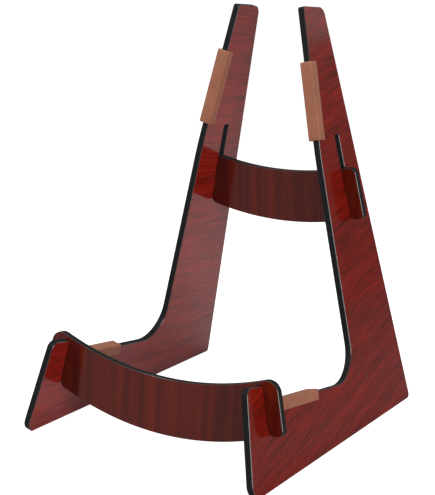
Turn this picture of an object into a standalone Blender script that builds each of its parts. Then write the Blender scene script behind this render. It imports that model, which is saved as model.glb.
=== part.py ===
"""Knock-down wooden guitar stand in metres: +Z up, front at -Y, right side at +X.

Two L-shaped side boards lean towards each other. A curved crossboard hangs in the open slots behind
their hooks, another in the closed slots of their arms, each halved over the side boards so that the
four boards lock by their own weight. A U-shaped pad covers the front edge of each arm and the upper
edge of each foot.

A side board is drawn in its own plane: s runs to the back along the floor, h up the leaning board.
A crossboard is drawn in its own plane: x runs across the stand, v up the tilted board.
"""
from math import cos, pi, radians, sin, sqrt, tan

import bmesh
import bpy
from mathutils import Matrix, Vector

# Sheet that the four boards are sawn from, and the clearances between them
BOARD = 0.007
ARRIS = 0.0005
SEAT_GAP = 0.0003
ARM_SLOT_PLAY = 0.0008

# Stance of the side boards
LEAN = radians(12.9)
INSIDE_AT_FLOOR = 0.255

# Side board: places are (s, h), rakes lean back from square to the floor, falls drop towards the back
HEEL = 0.3178
REAR_RAKE = radians(-7.32)
ARM_LENGTH = 0.4206
ARM_TOP = Vector((0.2241, ARM_LENGTH))
TOP_FALL = radians(2.9)
ARM_BEND = Vector((0.2103, 0.2740))
LOWER_ARM_RAKE = radians(0.46)
FOOT_TOP = Vector((0.1490, 0.0566))
FOOT_FALL = radians(7.97)
HOOK_TOP = Vector((0.0189, 0.0946))
HOOK_RAKE = radians(11.3)
SOLE_FRONT_RADIUS = 0.0115
SOLE_REAR_RADIUS = 0.005
TOP_REAR_RADIUS = 0.009
TOP_FRONT_RADIUS = 0.0025
BEND_RADIUS = 0.350
CROTCH_RADIUS = 0.033
SLOT_MOUTH_RADIUS = 0.0015
HOOK_REAR_RADIUS = 0.003
HOOK_FRONT_RADIUS = 0.007

# Crossboards: both are sawn to the same sag and depth
SAG_RADIUS = 0.328
SAG_STEPS = 14
CROSS_DEPTH = 0.0542
TAB = 0.0148
ARC_END_CLEAR = 0.007

# Front crossboard and the open slot behind the hook
FRONT_TILT = radians(4.6)
FRONT_SETBACK = 0.0398
FRONT_SLOT_HEIGHT = 0.054
FRONT_HANG = 0.0346
FRONT_SHOULDER_RADIUS = 0.012
FRONT_TOE_RADIUS = 0.005
FRONT_MOUTH_RADIUS = 0.006

# Upper crossboard and the closed slot in the arm
UPPER_TILT = radians(-3.8)
UPPER_SETBACK = 0.2676
ARM_SLOT_HEIGHT = 0.231
UPPER_HANG = 0.0377
ARM_SLOT_LENGTH = 0.0605
ARM_SLOT_RADIUS = 0.0015
UPPER_SHOULDER_RADIUS = 0.007
UPPER_TOE_RADIUS = 0.004
UPPER_MOUTH_RADIUS = 0.006

# Edge pads: one extrusion for all four
PAD_LENGTH = 0.0775
PAD_WALL = 0.0028
PAD_LAP = 0.0075
PAD_GAP = 0.0003
PAD_CORNER_RADIUS = 0.0026
PAD_TIP_RADIUS = 0.001
ARM_PAD_MIDDLE = {"right": 0.3282, "left": 0.3347}
FOOT_PAD_MIDDLE = 0.0912

ARC_STEP = radians(7.5)
WELD = 0.00001

HALF = BOARD / 2
SIDES = {"right": 1, "left": -1}


def meet(p, along_p, q, along_q):
    """Point where the line through p crosses the line through q."""
    return p + along_p * ((q - p).cross(along_q) / along_p.cross(along_q))


def rounded(corners):
    """Closed outline through (place, radius) corners, with a tangent arc in place of each corner."""
    outline = []
    for i, (here, radius) in enumerate(corners):
        back = (corners[i - 1][0] - here).normalized()
        ahead = (corners[(i + 1) % len(corners)][0] - here).normalized()
        half_corner = back.angle(ahead) / 2
        turn = pi - 2 * half_corner
        if radius == 0:
            outline.append(here)
            continue
        centre = here + (back + ahead).normalized() * radius / sin(half_corner)
        start = here + back * radius / tan(half_corner) - centre
        way = 1 if back.cross(ahead) < 0 else -1
        steps = int(turn / ARC_STEP) + 2
        for k in range(steps + 1):
            outline.append(centre + Matrix.Rotation(way * turn * k / steps, 2) @ start)
    return outline


def sawn(name, outlines, thickness, arris, place, finish, parts):
    """Flat solid from a closed outline and its holes, with an eased arris along every sawn edge."""
    curve = bpy.data.curves.new(name, "CURVE")
    curve.dimensions = "2D"
    curve.fill_mode = "BOTH"
    curve.extrude = thickness / 2 - arris
    curve.bevel_depth = arris
    curve.bevel_resolution = 0
    curve.offset = -arris
    for outline in outlines:
        spline = curve.splines.new("POLY")
        spline.points.add(len(outline) - 1)
        for point, (x, y) in zip(spline.points, outline):
            point.co = (x, y, 0, 1)
        spline.use_cyclic_u = True
    drawing = bpy.data.objects.new(name + "_drawing", curve)
    parts.objects.link(drawing)
    evaluated = drawing.evaluated_get(bpy.context.evaluated_depsgraph_get())
    mesh = bpy.data.meshes.new_from_object(evaluated)
    bpy.data.objects.remove(drawing)
    bm = bmesh.new()
    bm.from_mesh(mesh)
    bmesh.ops.remove_doubles(bm, verts=bm.verts, dist=WELD)
    bmesh.ops.recalc_face_normals(bm, faces=bm.faces)
    bm.to_mesh(mesh)
    bm.free()
    mesh.name = name
    mesh.materials.clear()
    mesh.materials.append(finish)
    piece = bpy.data.objects.new(name, mesh)
    piece.matrix_world = place
    parts.objects.link(piece)
    return piece


def slot_floor(setback, tilt, height, play):
    """Front and rear corner of a slot's floor in the side board, and the way its walls run up."""
    rise = height * cos(LEAN) + HALF * sin(LEAN)
    middle = Vector((setback + tan(tilt) * rise, height))
    wall = Vector((tan(tilt) * cos(LEAN), 1)).normalized()
    square = Vector((wall.y, -wall.x)) * (HALF + play)
    return middle - square, middle + square, wall


def side_outline():
    """Side board: sole, heel, rear edge, arm, bend, crotch, foot, open slot and hook."""
    sole = Vector((0, -BOARD * tan(LEAN)))
    level = Vector((1, 0))
    heel = Vector((HEEL, 0))
    rear = Vector((tan(REAR_RAKE), 1))
    front = Vector((tan(HOOK_RAKE), 1))
    foot = Vector((1, -tan(FOOT_FALL)))
    slot_front, slot_rear, wall = slot_floor(FRONT_SETBACK, FRONT_TILT, FRONT_SLOT_HEIGHT, SEAT_GAP)
    return rounded([
        (meet(sole, level, HOOK_TOP, front), SOLE_FRONT_RADIUS),
        (meet(sole, level, heel, rear), SOLE_REAR_RADIUS),
        (meet(ARM_TOP, Vector((1, -tan(TOP_FALL))), heel, rear), TOP_REAR_RADIUS),
        (ARM_TOP, TOP_FRONT_RADIUS),
        (ARM_BEND, BEND_RADIUS),
        (meet(ARM_BEND, Vector((tan(LOWER_ARM_RAKE), 1)), FOOT_TOP, foot), CROTCH_RADIUS),
        (meet(FOOT_TOP, foot, slot_rear, wall), SLOT_MOUTH_RADIUS),
        (slot_rear, 0),
        (slot_front, 0),
        (meet(slot_front, wall, HOOK_TOP, Vector((1, -tan(HOOK_RAKE)))), HOOK_REAR_RADIUS),
        (HOOK_TOP, HOOK_FRONT_RADIUS),
    ])


def arm_slot_outline():
    """Closed slot in the arm, long enough to pass the upper crossboard's end and let it drop."""
    front, rear, wall = slot_floor(UPPER_SETBACK, UPPER_TILT, ARM_SLOT_HEIGHT, ARM_SLOT_PLAY)
    length = wall * ARM_SLOT_LENGTH
    return rounded([(place, ARM_SLOT_RADIUS) for place in (front, rear, rear + length, front + length)])


def crossboard_outline(tilt, slot_height, hang, mouth_radius, toe_radius, shoulder_radius):
    """Crossboard: two sagging edges, and on each side a notch over the side board and a tab beyond it."""
    wall = Vector((-tan(LEAN) * cos(tilt), 1)).normalized()
    square = Vector((wall.y, -wall.x))
    closed_at = (slot_height * cos(LEAN) + HALF * sin(LEAN)) / cos(tilt) + SEAT_GAP
    closed = Vector((INSIDE_AT_FLOOR / 2 + HALF / cos(LEAN) - closed_at * cos(tilt) * tan(LEAN), closed_at))
    inner = closed - square * (HALF + SEAT_GAP)
    outer = closed + square * (HALF + SEAT_GAP)
    end = closed + square * (HALF + TAB)

    edge = closed_at - hang
    arc_reach = inner.x - ARC_END_CLEAR
    run = sqrt(SAG_RADIUS ** 2 - arc_reach ** 2)
    tangent = Vector((run, arc_reach))
    lower = Vector((arc_reach, edge + SAG_RADIUS - run))
    upper = lower + Vector((0, CROSS_DEPTH))

    def sag(base):
        """Half of a sagging edge from the middle of the stand to where it runs on straight."""
        xs = [arc_reach * k / SAG_STEPS for k in range(SAG_STEPS + 1)]
        return [(Vector((x, base + SAG_RADIUS - sqrt(SAG_RADIUS ** 2 - x ** 2))), 0) for x in xs]

    half = sag(edge)
    half += [
        (meet(lower, tangent, inner, wall), mouth_radius),
        (inner, 0),
        (outer, 0),
        (meet(lower, tangent, outer, wall), mouth_radius),
        (meet(lower, tangent, end, wall), toe_radius),
        (meet(upper, tangent, end, wall), shoulder_radius),
    ]
    half += reversed(sag(edge + CROSS_DEPTH))
    mirrored = [(Vector((-place.x, place.y)), radius) for place, radius in reversed(half[1:-1])]
    return rounded(half + mirrored)


def pad_outline():
    """Section of a pad: x across the board's edge, y outwards from it."""
    inside = HALF + PAD_GAP
    outside = inside + PAD_WALL
    return rounded([
        (Vector((-outside, -PAD_LAP)), PAD_TIP_RADIUS),
        (Vector((-inside, -PAD_LAP)), PAD_TIP_RADIUS),
        (Vector((-inside, PAD_GAP)), 0),
        (Vector((inside, PAD_GAP)), 0),
        (Vector((inside, -PAD_LAP)), PAD_TIP_RADIUS),
        (Vector((outside, -PAD_LAP)), PAD_TIP_RADIUS),
        (Vector((outside, PAD_GAP + PAD_WALL)), PAD_CORNER_RADIUS),
        (Vector((-outside, PAD_GAP + PAD_WALL)), PAD_CORNER_RADIUS),
    ])


def placed(x_axis, y_axis, origin):
    """Matrix that puts a drawing at origin with its axes along two square directions."""
    x_axis = Vector(x_axis)
    y_axis = Vector(y_axis)
    axes = Matrix((x_axis, y_axis, x_axis.cross(y_axis))).transposed()
    return Matrix.Translation(origin) @ axes.to_4x4()


def side_place(hand, middle):
    """Place of a side board's middle plane, leaning inwards from its inner face's line on the floor."""
    up = Vector((-hand * sin(LEAN), 0, cos(LEAN)))
    outwards = Vector((hand * cos(LEAN), 0, sin(LEAN)))
    foot = Vector((hand * INSIDE_AT_FLOOR / 2, -middle, 0))
    return placed((0, 1, 0), up, foot + outwards * HALF)


def crossboard_place(setback, tilt, middle):
    """Place of a crossboard's middle plane, tilted about its line on the floor."""
    return placed((1, 0, 0), (0, sin(tilt), cos(tilt)), (0, setback - middle, 0))


def pad_place(origin, along):
    """Place of a pad in the side board's plane, along an edge that has the board on its right."""
    along = along.normalized()
    return placed((0, 0, 1), (-along.y, along.x, 0), (origin.x, origin.y, 0))


def material(name, colour, roughness):
    """Principled material."""
    made = bpy.data.materials.new(name)
    made.use_nodes = True
    shader = made.node_tree.nodes["Principled BSDF"]
    shader.inputs["Base Color"].default_value = (*colour, 1)
    shader.inputs["Roughness"].default_value = roughness
    made.diffuse_color = (*colour, 1)
    return made


for leftover in list(bpy.data.objects):
    bpy.data.objects.remove(leftover)

stand = bpy.data.collections.new("wooden_guitar_stand")
tools = bpy.data.collections.new("sawing_guides")
bpy.context.scene.collection.children.link(stand)
bpy.context.scene.collection.children.link(tools)

side_outer = side_outline()
depth_middle = (min(p.x for p in side_outer) + max(p.x for p in side_outer)) / 2
arm_slot = arm_slot_outline()
pad_section = pad_outline()

# Block under the floor, against which both side boards' lower edges are sawn level
bpy.ops.mesh.primitive_cube_add(size=1)
under_floor = bpy.context.active_object
under_floor.name = "under_floor"
under_floor.scale = (2 * INSIDE_AT_FLOOR, 2 * HEEL, HEEL)
under_floor.location = (0, 0, -HEEL / 2)
under_floor.hide_render = True
under_floor.display_type = "WIRE"
for holder in list(under_floor.users_collection):
    holder.objects.unlink(under_floor)
tools.objects.link(under_floor)

arm_edge = ARM_TOP - ARM_BEND
foot_edge = Vector((1, -tan(FOOT_FALL)))
foot_pad_at = FOOT_TOP + foot_edge * (FOOT_PAD_MIDDLE - FOOT_TOP.x)

for side, hand in SIDES.items():
    place = side_place(hand, depth_middle)
    lacquer = material("side_lacquer_" + side, (0.40, 0.11, 0.09), 0.12)
    panel = sawn("side_panel_" + side, [side_outer, arm_slot], BOARD, ARRIS, place, lacquer, stand)
    level_sole = panel.modifiers.new("level_sole", "BOOLEAN")
    level_sole.operation = "DIFFERENCE"
    level_sole.solver = "EXACT"
    level_sole.object = under_floor

    arm_pad_at = ARM_BEND + arm_edge * ((ARM_PAD_MIDDLE[side] - ARM_BEND.y) / arm_edge.y)
    arm_pad_brown = material("arm_pad_brown_" + side, (0.62, 0.38, 0.28), 0.55)
    foot_pad_brown = material("foot_pad_brown_" + side, (0.62, 0.38, 0.28), 0.55)
    sawn("arm_pad_" + side, [pad_section], PAD_LENGTH, 0, place @ pad_place(arm_pad_at, arm_edge),
         arm_pad_brown, stand)
    sawn("foot_pad_" + side, [pad_section], PAD_LENGTH, 0, place @ pad_place(foot_pad_at, foot_edge),
         foot_pad_brown, stand)

front_outline = crossboard_outline(FRONT_TILT, FRONT_SLOT_HEIGHT, FRONT_HANG,
                                   FRONT_MOUTH_RADIUS, FRONT_TOE_RADIUS, FRONT_SHOULDER_RADIUS)
sawn("front_crossboard", [front_outline], BOARD, ARRIS,
     crossboard_place(FRONT_SETBACK, FRONT_TILT, depth_middle),
     material("front_lacquer", (0.30, 0.08, 0.06), 0.12), stand)

upper_outline = crossboard_outline(UPPER_TILT, ARM_SLOT_HEIGHT, UPPER_HANG,
                                   UPPER_MOUTH_RADIUS, UPPER_TOE_RADIUS, UPPER_SHOULDER_RADIUS)
sawn("upper_crossboard", [upper_outline], BOARD, ARRIS,
     crossboard_place(UPPER_SETBACK, UPPER_TILT, depth_middle),
     material("upper_lacquer", (0.30, 0.08, 0.06), 0.12), stand)
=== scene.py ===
from math import cos, radians, sin

import bpy
import numpy as np
from mathutils import Matrix, Vector


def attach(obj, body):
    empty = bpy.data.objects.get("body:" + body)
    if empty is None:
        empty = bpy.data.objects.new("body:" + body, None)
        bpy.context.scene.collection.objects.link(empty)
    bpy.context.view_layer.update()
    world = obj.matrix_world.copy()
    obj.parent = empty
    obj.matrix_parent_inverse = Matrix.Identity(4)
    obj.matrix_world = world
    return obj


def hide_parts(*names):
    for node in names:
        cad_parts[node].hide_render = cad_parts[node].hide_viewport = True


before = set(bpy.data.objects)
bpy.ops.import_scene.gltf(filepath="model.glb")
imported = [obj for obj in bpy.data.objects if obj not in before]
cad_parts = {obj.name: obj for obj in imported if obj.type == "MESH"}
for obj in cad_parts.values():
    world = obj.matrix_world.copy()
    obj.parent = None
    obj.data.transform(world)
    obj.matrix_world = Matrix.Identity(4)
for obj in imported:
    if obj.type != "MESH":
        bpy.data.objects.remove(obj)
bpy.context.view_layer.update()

# The two side boards are sawn from 7 mm board faced with red veneer under a high-gloss lacquer. Their
# sawn edges are painted black, and the eased arris between a face and an edge is left thin and coloured greyer
# than the edges, a painted highlight on top of its real reflection.
# Each stands on its own straight lower edge and leans inwards against the crossboards.
LEAN = radians(12.9)
HANDS = {"right": 1, "left": -1}
GRAIN_RISE = {"right": radians(13), "left": radians(-3)}
# Dark and light veneer colours per board. The left board's are set lighter than the right's as painted light,
# standing in for the light on its inner face, since both boards carry the same veneer.
SIDE_VENEERS_LEFT_PAINTED_LIGHTER = {
    "right": ((0.072, 0.0048, 0.0028), (0.225, 0.0105, 0.0048)),
    "left": ((0.120, 0.0072, 0.0048), (0.310, 0.0150, 0.0085)),
}
EDGE_BLACK = (0.0125, 0.0130, 0.0140)
# The arris grey is a painted highlight: a colour greyer than the black edge paint that stands in for the lamps'
# reflection on the arris.
ARRIS_HIGHLIGHT_GREY = (0.055, 0.040, 0.038)
ARRIS_SHINE = 0.5
OUTER_SHINE = 0.22
BARE_IOR = 1.12
LACQUER_IOR = 1.5
LACQUER_ROUGHNESS = 0.10


def add_node(tree, kind, inputs=None, **settings):
    """Node of one kind with its settings, and its inputs set to values or linked to other outputs."""
    made = tree.nodes.new(kind)
    for name, value in settings.items():
        setattr(made, name, value)
    for name, value in (inputs or {}).items():
        if isinstance(value, bpy.types.NodeSocket):
            tree.links.new(value, made.inputs[name])
        else:
            made.inputs[name].default_value = value
    return made


def mix_colours(tree, share, first, second, way="MIX"):
    """Output of a colour mix, where first and second are outputs or linear colours."""
    made = add_node(tree, "ShaderNodeMix", data_type="RGBA", blend_type=way)
    for socket, value in ((made.inputs[0], share), (made.inputs[6], first), (made.inputs[7], second)):
        if isinstance(value, bpy.types.NodeSocket):
            tree.links.new(value, socket)
        elif isinstance(value, tuple):
            socket.default_value = (*value, 1)
        else:
            socket.default_value = value
    return made.outputs[2]


def shader_group(name, inputs, outputs):
    """Empty node group with named sockets, and its input and output node."""
    group = bpy.data.node_groups.new(name, "ShaderNodeTree")
    for label, kind in inputs.items():
        group.interface.new_socket(label, in_out="INPUT", socket_type="NodeSocket" + kind)
    for label, kind in outputs.items():
        group.interface.new_socket(label, in_out="OUTPUT", socket_type="NodeSocket" + kind)
    return group, group.nodes.new("NodeGroupInput"), group.nodes.new("NodeGroupOutput")


def scaled(tree, value, low, high, to_low=0.0, to_high=1.0):
    """Output of a map range that keeps within its target range."""
    made = add_node(tree, "ShaderNodeMapRange", {
        "Value": value, "From Min": low, "From Max": high, "To Min": to_low, "To Max": to_high})
    return made.outputs["Result"]


def make_board_faces():
    """Group that tells a board's faces and eased arris from its sawn edges by their direction.

    Shine is 1 on the face that Square To Board points away from, and lower on the other and on the arris.
    """
    group, given, out = shader_group("board_faces", {"Square To Board": "Vector", "Far Shine": "Float"},
                                     {"Face": "Float", "Arris": "Float", "Shine": "Float"})
    place = add_node(group, "ShaderNodeTexCoord")
    facing = add_node(group, "ShaderNodeVectorMath", operation="DOT_PRODUCT")
    group.links.new(place.outputs["Normal"], facing.inputs[0])
    group.links.new(given.outputs["Square To Board"], facing.inputs[1])
    far = scaled(group, facing.outputs["Value"], 0.86, 0.95)
    facing = add_node(group, "ShaderNodeMath", {0: facing.outputs["Value"]}, operation="ABSOLUTE")
    face = scaled(group, facing.outputs[0], 0.86, 0.95)
    off_edge = scaled(group, facing.outputs[0], 0.35, 0.55)
    arris = add_node(group, "ShaderNodeMath", {0: off_edge, 1: face}, operation="SUBTRACT")
    group.links.new(face, out.inputs["Face"])
    group.links.new(arris.outputs[0], out.inputs["Arris"])
    near = add_node(group, "ShaderNodeMath", {0: face, 1: far}, operation="SUBTRACT")
    shine = add_node(group, "ShaderNodeMath", {
        0: far, 1: given.outputs["Far Shine"], 2: near.outputs[0]}, operation="MULTIPLY_ADD")
    shine = add_node(group, "ShaderNodeMath", {
        0: arris.outputs[0], 1: ARRIS_SHINE, 2: shine.outputs[0]}, operation="MULTIPLY_ADD")
    group.links.new(shine.outputs[0], out.inputs["Shine"])
    return group


def make_veneer():
    """Group for wood grain: noise stretched along the grain, on a place bent by slow noise."""
    group, given, out = shader_group(
        "veneer", {"Along": "Vector", "Across": "Vector", "Length": "Float", "Width": "Float", "Wander": "Float"},
        {"Streaks": "Float", "Figure": "Float"})
    place = add_node(group, "ShaderNodeTexCoord").outputs["Object"]
    slow = add_node(group, "ShaderNodeTexNoise", {"Vector": place, "Scale": 9.0, "Detail": 1.0})
    bend = scaled(group, slow.outputs["Fac"], 0.0, 1.0, -1.0, 1.0)
    bend = add_node(group, "ShaderNodeMath", {0: bend, 1: given.outputs["Wander"]}, operation="MULTIPLY")

    def measure(direction):
        """Distance of the place along a direction."""
        made = add_node(group, "ShaderNodeVectorMath", operation="DOT_PRODUCT")
        group.links.new(place, made.inputs[0])
        group.links.new(given.outputs[direction], made.inputs[1])
        return made.outputs["Value"]

    across = add_node(group, "ShaderNodeMath", {0: measure("Across"), 1: bend.outputs[0]}, operation="ADD")
    across = add_node(group, "ShaderNodeMath", {0: across.outputs[0], 1: given.outputs["Width"]},
                      operation="DIVIDE")
    along = add_node(group, "ShaderNodeMath", {0: measure("Along"), 1: given.outputs["Length"]},
                     operation="DIVIDE")

    def grain(stretch, detail):
        """Noise over the grain, stretch times as coarse as its finest streaks."""
        spot = add_node(group, "ShaderNodeCombineXYZ", {"X": along.outputs[0], "Y": across.outputs[0]})
        made = add_node(group, "ShaderNodeTexNoise", {
            "Vector": spot.outputs[0], "Scale": 1 / stretch, "Detail": detail, "Roughness": 0.62})
        return made.outputs["Fac"]

    fine = scaled(group, grain(1.0, 4.0), 0.40, 0.62)
    broad = scaled(group, grain(6.0, 2.0), 0.38, 0.64)
    group.links.new(fine, out.inputs["Streaks"])
    group.links.new(broad, out.inputs["Figure"])
    return group


BOARD_FACES = make_board_faces()
VENEER = make_veneer()


def make_lacquer_flow():
    """Group for the shallow waves of a brushed lacquer: two sizes of slow noise."""
    group, given, out = shader_group("lacquer_flow", {"Size": "Float"}, {"Height": "Float"})
    place = add_node(group, "ShaderNodeTexCoord").outputs["Object"]
    slow = add_node(group, "ShaderNodeTexNoise", {"Vector": place, "Detail": 1.5})
    group.links.new(given.outputs["Size"], slow.inputs["Scale"])
    group.links.new(slow.outputs["Fac"], out.inputs["Height"])
    return group


LACQUER_FLOW = make_lacquer_flow()


def lacquered_board(name, square, far_shine, along, across, colours, figure, streak):
    """Material of a board: lacquered veneer on its faces, black paint on its edges, and an arris coloured greyer
    than the edges as a painted highlight.
    """
    made = bpy.data.materials.new(name)
    made.use_nodes = True
    tree = made.node_tree
    shader = tree.nodes["Principled BSDF"]
    faces = add_node(tree, "ShaderNodeGroup", node_tree=BOARD_FACES)
    faces.inputs["Square To Board"].default_value = square
    faces.inputs["Far Shine"].default_value = far_shine
    wood = add_node(tree, "ShaderNodeGroup", node_tree=VENEER)
    wood.inputs["Along"].default_value = along
    wood.inputs["Across"].default_value = across
    for label, value in zip(("Length", "Width", "Wander"), streak):
        wood.inputs[label].default_value = value

    dark, light = colours
    tone = add_node(tree, "ShaderNodeMath", {0: wood.outputs["Figure"], 1: figure}, operation="MULTIPLY")
    tone = add_node(tree, "ShaderNodeMath", {0: wood.outputs["Streaks"], 1: 1 - figure, 2: tone.outputs[0]},
                    operation="MULTIPLY_ADD")
    veneer = mix_colours(tree, tone.outputs[0], dark, light)
    # Black edge paint, turned greyer on the arris as a painted highlight.
    painted = mix_colours(tree, faces.outputs["Arris"], EDGE_BLACK, ARRIS_HIGHLIGHT_GREY)
    colour = mix_colours(tree, faces.outputs["Face"], painted, veneer)
    tree.links.new(colour, shader.inputs["Base Color"])
    tree.links.new(scaled(tree, faces.outputs["Face"], 0.0, 1.0, 0.45, 0.30), shader.inputs["Roughness"])
    tree.links.new(faces.outputs["Shine"], shader.inputs["Coat Weight"])
    flow = add_node(tree, "ShaderNodeGroup", node_tree=LACQUER_FLOW)
    flow.inputs["Size"].default_value = 75.0
    height = add_node(tree, "ShaderNodeMath", {0: wood.outputs["Streaks"], 1: 0.06, 2: flow.outputs["Height"]},
                      operation="MULTIPLY_ADD")
    relief = add_node(tree, "ShaderNodeBump", {
        "Strength": 1.0, "Distance": 0.0004, "Height": height.outputs[0]})
    tree.links.new(relief.outputs["Normal"], shader.inputs["Normal"])
    shader.inputs["IOR"].default_value = BARE_IOR
    shader.inputs["Coat IOR"].default_value = LACQUER_IOR
    shader.inputs["Coat Roughness"].default_value = LACQUER_ROUGHNESS
    return made


def dress(node, material):
    """Give a board that stays as the CAD has it its finish."""
    node.data.materials.clear()
    node.data.materials.append(material)


for side, hand in HANDS.items():
    back = Vector((0, 1, 0))
    up = Vector((-hand * sin(LEAN), 0, cos(LEAN)))
    out = Vector((hand * cos(LEAN), 0, sin(LEAN)))
    rise = GRAIN_RISE[side]
    lacquer = lacquered_board(
        "side_lacquer_" + side, out, OUTER_SHINE, back * cos(rise) + up * sin(rise),
        up * cos(rise) - back * sin(rise), SIDE_VENEERS_LEFT_PAINTED_LIGHTER[side], 0.40, (0.040, 0.0021, 0.010))
    dress(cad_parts["side_panel_" + side], lacquer)

# The two crossboards are sawn from the same board in a curve, with a notch over each side board. Their
# veneer runs up and down and is darker, and their edges are painted like those of the side boards.
CROSSBOARD_TILTS = {"front_crossboard": radians(4.6), "upper_crossboard": radians(-3.8)}
CROSS_SHINE = 0.35
CROSS_DARK = (0.052, 0.0056, 0.0046)
CROSS_LIGHT = (0.132, 0.0110, 0.0030)

for name, tilt in CROSSBOARD_TILTS.items():
    across = Vector((1, 0, 0))
    up = Vector((0, sin(tilt), cos(tilt)))
    lacquer = lacquered_board(name + "_lacquer", across.cross(up), CROSS_SHINE, up, across,
                              (CROSS_DARK, CROSS_LIGHT), 0.62, (0.110, 0.0022, 0.003))
    dress(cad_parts[name], lacquer)

# Each pad is a strip of soft tan leather-like material, folded over a board's edge into a U and glued.
# It is the same strip four times: one on the front edge of each arm, one on the upper edge of each foot.
BOARD = 0.007
INSIDE_AT_FLOOR = 0.255
SETBACK = 0.15977
PAD_LENGTH = 0.0775
PAD_WALL = 0.0028
PAD_LAP = 0.0075
PAD_GAP = 0.0003
PAD_OUTER_RADIUS = 0.0014
PAD_INNER_RADIUS = 0.0004
PAD_TIP_RADIUS = 0.0011
PAD_END_RADIUS = 0.0009
PAD_CROWN = 0.00022
PAD_RIPPLE = 0.00008
ARM_BEND = Vector((0.2103, 0.2740))
ARM_TOP = Vector((0.2241, 0.4206))
ARM_PAD_HEIGHT = {"right": 0.3282, "left": 0.3347}
FOOT_PAD_MIDDLE = Vector((0.0912, 0.06469))
FOOT_FALL = radians(7.97)
TAN_DEEP = (0.235, 0.073, 0.032)
TAN_PALE = (0.320, 0.110, 0.054)


def pad_section(inset):
    """Closed U outline, drawn in by inset: straight walls joined by arcs of eight steps at its corners.

    Column 0 runs across the board's edge and column 1 outwards from it.
    """
    inner = BOARD / 2 + PAD_GAP
    outer = inner + PAD_WALL
    top = PAD_GAP + PAD_WALL
    corners = np.array([
        (-outer + inset, -PAD_LAP + inset, PAD_TIP_RADIUS - inset, 180, 270),
        (-inner - inset, -PAD_LAP + inset, PAD_TIP_RADIUS - inset, 270, 360),
        (-inner - inset, PAD_GAP + inset, PAD_INNER_RADIUS + inset, 180, 90),
        (inner + inset, PAD_GAP + inset, PAD_INNER_RADIUS + inset, 90, 0),
        (inner + inset, -PAD_LAP + inset, PAD_TIP_RADIUS - inset, 180, 270),
        (outer - inset, -PAD_LAP + inset, PAD_TIP_RADIUS - inset, 270, 360),
        (outer - inset, top - inset, PAD_OUTER_RADIUS - inset, 0, 90),
        (-outer + inset, top - inset, PAD_OUTER_RADIUS - inset, 90, 180),
    ])
    place, radius, turn = corners[:, :2], corners[:, 2:3], np.radians(corners[:, 3:])
    middle_turn = turn.mean(axis=1, keepdims=True)
    side = np.sign(np.hstack((np.cos(middle_turn), np.sin(middle_turn))))
    centre = place - side * radius
    steps = np.linspace(0, 1, 9)[None, :]
    angle = turn[:, :1] + (turn[:, 1:] - turn[:, :1]) * steps
    x = centre[:, :1] + radius * np.cos(angle)
    y = centre[:, 1:] + radius * np.sin(angle)
    return np.column_stack((x.ravel(), y.ravel()))


def pad_surface(to_stand):
    """Closed skin of a pad: the U outline carried along its length, drawn in over a quarter round at each
    end. Its outer walls are crowned by a parabola across and ripple by two sine waves along."""
    quarter = np.linspace(0, np.pi / 2, 5)
    middle = np.linspace(PAD_END_RADIUS, PAD_LENGTH - PAD_END_RADIUS, 34)[1:-1]
    start = PAD_END_RADIUS * (1 - np.sin(quarter))[::-1]
    along = np.concatenate((start, middle, PAD_LENGTH - start[::-1])) - PAD_LENGTH / 2
    drawn_in = PAD_END_RADIUS * (1 - np.cos(quarter))
    inset = np.concatenate((drawn_in[::-1], np.zeros(len(middle)), drawn_in))
    rings = np.stack([pad_section(amount) for amount in inset])
    outer = BOARD / 2 + PAD_GAP + PAD_WALL
    x, y = rings[..., 0], rings[..., 1]
    on_front = np.clip(y / PAD_WALL, 0, 1)
    on_flange = np.clip((np.abs(x) - outer + PAD_WALL / 2) / (PAD_WALL / 2), 0, 1)
    swell = PAD_CROWN + PAD_RIPPLE * (np.sin(along * 190)[:, None] + np.sin(along * 410 + 1.3)[:, None])
    flange_middle = (y + PAD_LAP / 2) / (PAD_LAP / 2 + PAD_WALL)
    y = y + swell * on_front * (1 - (x / outer) ** 2)
    x = x + swell * on_flange * np.sign(x) * np.clip(1 - flange_middle ** 2, 0, 1)
    z = np.broadcast_to(along[:, None], x.shape)
    points = np.stack((x, y, z), axis=-1)

    count, around = x.shape
    ring = np.arange(around)
    step = np.arange(count - 1)[:, None] * around
    here = step + ring
    beside = step + (ring + 1) % around
    quads = np.stack((here, beside, beside + around, here + around), axis=-1).reshape(-1, 4)
    faces = quads.tolist() + [ring[::-1].tolist(), (ring + (count - 1) * around).tolist()]
    mesh = bpy.data.meshes.new("pad")
    mesh.from_pydata(points.reshape(-1, 3).tolist(), [], faces)
    mesh.transform(to_stand)
    mesh.shade_smooth()
    mesh.set_sharp_from_angle(angle=radians(50))
    mesh.update()
    return mesh


def board_plane(hand):
    """Matrix from a side board's middle plane, as run back, height and depth, to the stand."""
    up = Vector((-hand * sin(LEAN), 0, cos(LEAN)))
    out = Vector((hand * cos(LEAN), 0, sin(LEAN)))
    origin = Vector((hand * INSIDE_AT_FLOOR / 2, -SETBACK, 0)) + out * BOARD / 2
    axes = Matrix((Vector((0, 1, 0)), up, Vector((0, 1, 0)).cross(up))).transposed()
    return Matrix.Translation(origin) @ axes.to_4x4()


def pad_on_edge(middle, along):
    """Matrix from a pad's own axes to the side board's plane, with the board on the right of along."""
    along = along.normalized()
    axes = Matrix(((0, 0, 1), (-along.y, along.x, 0), (-along.x, -along.y, 0)))
    return Matrix.Translation((middle.x, middle.y, 0)) @ axes.transposed().to_4x4()


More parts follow.
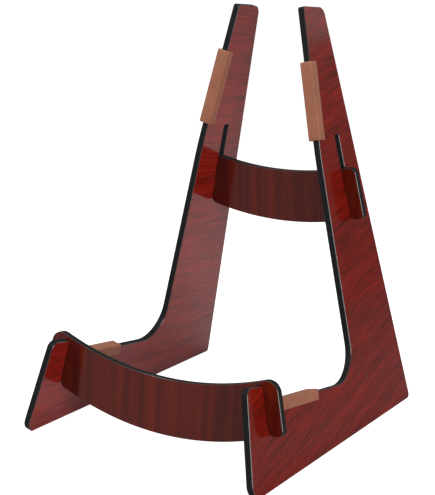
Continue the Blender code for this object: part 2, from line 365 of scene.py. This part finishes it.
def make_pad_leather():
    """Material of the pads: tan, paler in random clouds and flecks, with fine pores."""
    made = bpy.data.materials.new("pad_leather")
    made.use_nodes = True
    tree = made.node_tree
    shader = tree.nodes["Principled BSDF"]
    place = add_node(tree, "ShaderNodeTexCoord").outputs["Object"]
    cloud = add_node(tree, "ShaderNodeTexNoise", {"Vector": place, "Scale": 70.0, "Detail": 3.0})
    speck = add_node(tree, "ShaderNodeTexNoise", {"Vector": place, "Scale": 900.0, "Detail": 2.0})
    pores = add_node(tree, "ShaderNodeTexVoronoi", {"Vector": place, "Scale": 1100.0},
                     feature="DISTANCE_TO_EDGE")
    tone = scaled(tree, cloud.outputs["Fac"], 0.25, 0.80)
    colour = mix_colours(tree, tone, TAN_DEEP, TAN_PALE)
    fleck = scaled(tree, speck.outputs["Fac"], 0.35, 0.65, 0.0, 0.20)
    colour = mix_colours(tree, fleck, colour, TAN_PALE)
    tree.links.new(colour, shader.inputs["Base Color"])
    relief = add_node(tree, "ShaderNodeBump", {
        "Strength": 0.5, "Distance": 0.00010, "Height": scaled(tree, pores.outputs["Distance"], 0.0, 0.25)})
    tree.links.new(relief.outputs["Normal"], shader.inputs["Normal"])
    shader.inputs["Roughness"].default_value = 0.48
    shader.inputs["Sheen Weight"].default_value = 0.04
    return made


pad_leather = make_pad_leather()
arm_edge = ARM_TOP - ARM_BEND
foot_edge = Vector((cos(FOOT_FALL), -sin(FOOT_FALL)))
for side, hand in HANDS.items():
    arm_share = (ARM_PAD_HEIGHT[side] - ARM_BEND.y) / arm_edge.y
    pads = {
        "arm_pad_": (ARM_BEND + arm_edge * arm_share, arm_edge),
        "foot_pad_": (FOOT_PAD_MIDDLE, foot_edge),
    }
    for kind, (middle, along) in pads.items():
        skin = pad_surface(board_plane(hand) @ pad_on_edge(middle, along))
        skin.materials.append(pad_leather)
        pad = bpy.data.objects.new(kind + side + "_leather", skin)
        bpy.context.scene.collection.objects.link(pad)
        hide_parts(kind + side)
        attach(pad, "side_" + side)

# The stand is set on a plain white floor under two broad soft lamps and an even surround.
FLOOR_REACH = 30.0
FLOOR_GREY = 0.60
FLOOR_WHITE = 0.93
MIRRORED_WHITE = 0.12
SURROUND = 0.20

bpy.ops.mesh.primitive_plane_add(size=2 * FLOOR_REACH)
floor = bpy.context.active_object
floor.name = "floor"
white = bpy.data.materials.new("white_floor")
white.use_nodes = True
tree = white.node_tree
tree.nodes.clear()
rays = add_node(tree, "ShaderNodeLightPath")
seen = add_node(tree, "ShaderNodeMath", {0: rays.outputs["Is Glossy Ray"], 1: rays.outputs["Is Transmission Ray"]},
                operation="ADD")
seen = add_node(tree, "ShaderNodeMath", {0: seen.outputs[0], 1: MIRRORED_WHITE}, operation="MULTIPLY")
seen = add_node(tree, "ShaderNodeMath", {0: rays.outputs["Is Camera Ray"], 1: FLOOR_WHITE, 2: seen.outputs[0]},
                operation="MULTIPLY_ADD")
lit = add_node(tree, "ShaderNodeBsdfDiffuse", {"Color": (FLOOR_GREY, FLOOR_GREY, FLOOR_GREY, 1)})
glow = add_node(tree, "ShaderNodeEmission", {"Strength": seen.outputs[0]})
both = add_node(tree, "ShaderNodeAddShader", {0: lit.outputs[0], 1: glow.outputs[0]})
add_node(tree, "ShaderNodeOutputMaterial", {"Surface": both.outputs[0]})
floor.data.materials.append(white)

world = bpy.data.worlds.new("soft_surround")
bpy.context.scene.world = world
world.use_nodes = True
tree = world.node_tree
rays = add_node(tree, "ShaderNodeLightPath")
seen = add_node(tree, "ShaderNodeMath", {0: rays.outputs["Is Glossy Ray"], 1: rays.outputs["Is Transmission Ray"]},
                operation="ADD")
seen = add_node(tree, "ShaderNodeMath", {0: seen.outputs[0], 1: MIRRORED_WHITE, 2: SURROUND},
                operation="MULTIPLY_ADD")
seen = add_node(tree, "ShaderNodeMath", {0: rays.outputs["Is Camera Ray"], 1: 1 - SURROUND, 2: seen.outputs[0]},
                operation="MULTIPLY_ADD")
tree.links.new(seen.outputs[0], tree.nodes["Background"].inputs["Strength"])
tree.nodes["Background"].inputs["Color"].default_value = (1, 1, 1, 1)


def soft_lamp(name, place, aim, size, power):
    """Square area lamp that faces aim."""
    lamp = bpy.data.lights.new(name, "AREA")
    lamp.size = size
    lamp.energy = power
    made = bpy.data.objects.new(name, lamp)
    made.location = place
    made.rotation_euler = (Vector(aim) - Vector(place)).to_track_quat("-Z", "Y").to_euler()
    bpy.context.scene.collection.objects.link(made)


soft_lamp("key_lamp", (-1.00, -1.00, 1.30), (0, 0, 0.15), 0.9, 17)
soft_lamp("fill_lamp", (1.60, -0.90, 0.45), (0, 0, 0.15), 0.9, 24)
soft_lamp("top_lamp", (-0.03, 0.10, 1.00), (-0.03, 0.06, 0), 0.3, 3.5)
soft_lamp("back_lamp", (0.95, 1.60, 1.05), (0, 0, 0.30), 0.8, 3)

# The camera stands where the photograph was taken from, slightly above the stand and to its right.
CAMERA_PLACE = (0.61854, -0.95783, 0.44964)
CAMERA_RIGHT = (0.83259, 0.55363, 0.01717)
CAMERA_DOWN = (0.14339, -0.18549, -0.97213)
CAMERA_LENS = 85.67

photo_camera = bpy.data.cameras.new("photo_camera")
photo_camera.lens = CAMERA_LENS
camera = bpy.data.objects.new("photo_camera", photo_camera)
right = Vector(CAMERA_RIGHT).normalized()
rise = -Vector(CAMERA_DOWN).normalized()
turned = Matrix((right, rise, right.cross(rise))).transposed().to_4x4()
camera.matrix_world = Matrix.Translation(CAMERA_PLACE) @ turned
bpy.context.scene.collection.objects.link(camera)
bpy.context.scene.camera = camera
bpy.context.scene.view_settings.view_transform = "Standard"
